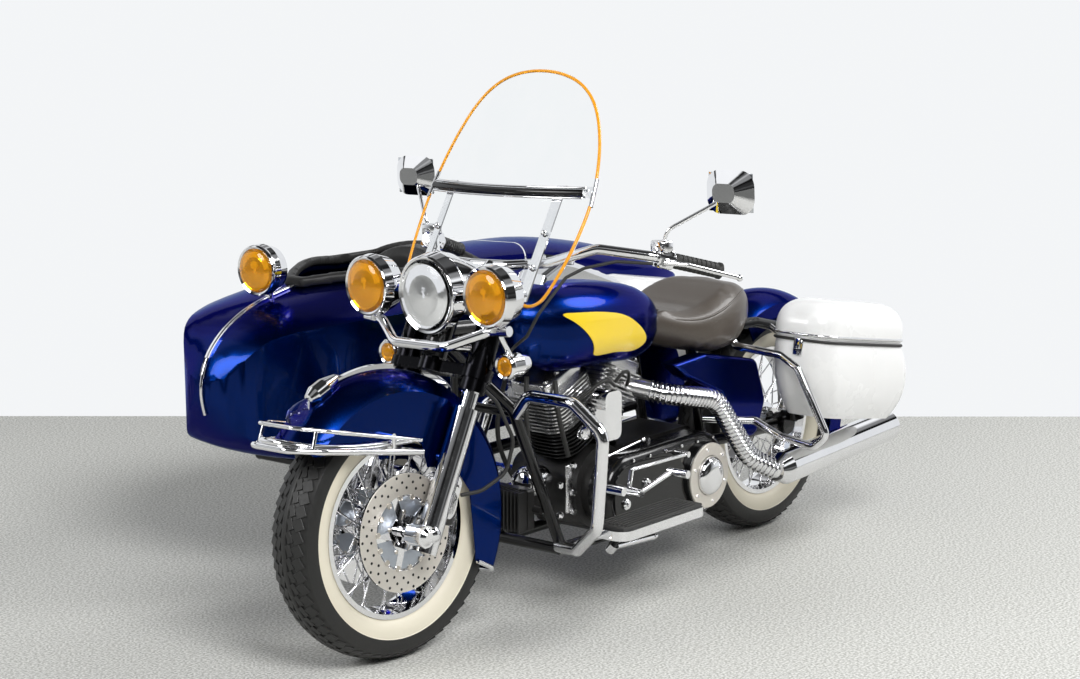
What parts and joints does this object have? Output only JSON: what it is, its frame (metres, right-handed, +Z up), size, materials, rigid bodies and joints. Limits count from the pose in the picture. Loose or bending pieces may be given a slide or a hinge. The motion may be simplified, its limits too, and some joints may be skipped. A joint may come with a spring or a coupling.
{
  "type": "touring motorcycle with sidecar",
  "caption": "Touring motorcycle with laced wheels, tall windshield, vee engine and hard saddlebags, carrying a bullet-nosed sidecar on its right.",
  "frame": {"origin": "on the ground below the middle of the whole vehicle's box", "axes": "+X straight ahead along the machine, +Y to its left, away from the sidecar, +Z up"},
  "size_m": [2.3822, 1.8961, 1.3982],
  "materials": {
    "blue_paint": "gloss",
    "white_paint": "gloss",
    "black_paint": "gloss",
    "chrome": "polished",
    "aluminium": "cast",
    "tyre": "matt with a white wall",
    "clear_sheet": "clear",
    "seat_leather": "worn satin",
    "black_trim": "satin",
    "red_lens": "gloss",
    "black_rubber": "matt"
  },
  "bodies": {
    "chassis": {"air_cleaner": "chrome", "bag_guards": "chrome", "coaming": "black_trim", "console": "chrome", "crankcase": "aluminium", "engine_guard": "chrome", "exhausts": "chrome", "foot_controls": "chrome", "frame": "black_paint", "front_cylinder": "aluminium", "fuel_tank": "blue_paint", "horn_cover": "chrome", "left_bag": "white_paint", "primary_cover": "black_paint", "rear_cylinder": "aluminium", "rear_fender": "blue_paint", "regulator": "black_paint", "right_bag": "white_paint", "saddle": "seat_leather", "side_covers": "blue_paint", "sidecar_body": "blue_paint", "sidecar_chassis": "black_paint", "sidecar_fender": "blue_paint", "sidecar_lamp": "chrome", "sidecar_seat": "black_trim", "swingarm": "black_paint", "tail_lamp": "red_lens"},
    "front_end": {"fork": "chrome", "headlamp": "chrome", "lamp_bar": "chrome", "windshield": "clear_sheet", "windshield_frame": "chrome", "handlebar": "chrome", "brake_hose": "black_rubber", "front_fender": "blue_paint", "fender_rails": "chrome"},
    "front_wheel_assembly": {"front_wheel": "chrome", "front_tyre": "tyre"},
    "rear_wheel_assembly": {"rear_wheel": "chrome", "rear_tyre": "tyre"},
    "sidecar_wheel_assembly": {"sidecar_wheel": "chrome", "sidecar_tyre": "tyre"},
    "left_lid": {"left_bag_lid": "white_paint"},
    "right_lid": {"right_bag_lid": "white_paint"},
    "stand": {"side_stand": "chrome"}
  },
  "joints": [
    {"name": "steering", "type": "hinge", "parent": "chassis", "child": "front_end", "pos_m": [0.842, 0.29, 0.318], "axis": [-0.4384, 0, 0.8988], "range_deg": [-27.9, 40.1]},
    {"name": "front_wheel_spin", "type": "hinge", "parent": "front_end", "child": "front_wheel_assembly", "pos_m": [0.842, 0.29, 0.318], "axis": [0.0955, 0.9943, 0.0466], "continuous": true},
    {"name": "rear_wheel_spin", "type": "hinge", "parent": "chassis", "child": "rear_wheel_assembly", "pos_m": [-0.77, 0.29, 0.318], "axis": [0, 1, 0], "continuous": true},
    {"name": "sidecar_wheel_spin", "type": "hinge", "parent": "chassis", "child": "sidecar_wheel_assembly", "pos_m": [-0.52, -0.86, 0.318], "axis": [0, 1, 0], "continuous": true},
    {"name": "left_bag_lid_hinge", "type": "hinge", "parent": "chassis", "child": "left_lid", "pos_m": [-0.69611, 0.522, 0.60532], "axis": [0.9863, 0, 0.165], "range_deg": [0, 60]},
    {"name": "right_bag_lid_hinge", "type": "hinge", "parent": "chassis", "child": "right_lid", "pos_m": [-0.69611, 0.058, 0.60532], "axis": [-0.9863, 0, -0.165], "range_deg": [0, 60]},
    {"name": "side_stand_hinge", "type": "hinge", "parent": "chassis", "child": "stand", "pos_m": [0.096, 0.426, 0.134], "axis": [0.0395, -0.6107, -0.7909], "range_deg": [0, 94]}
  ]
}
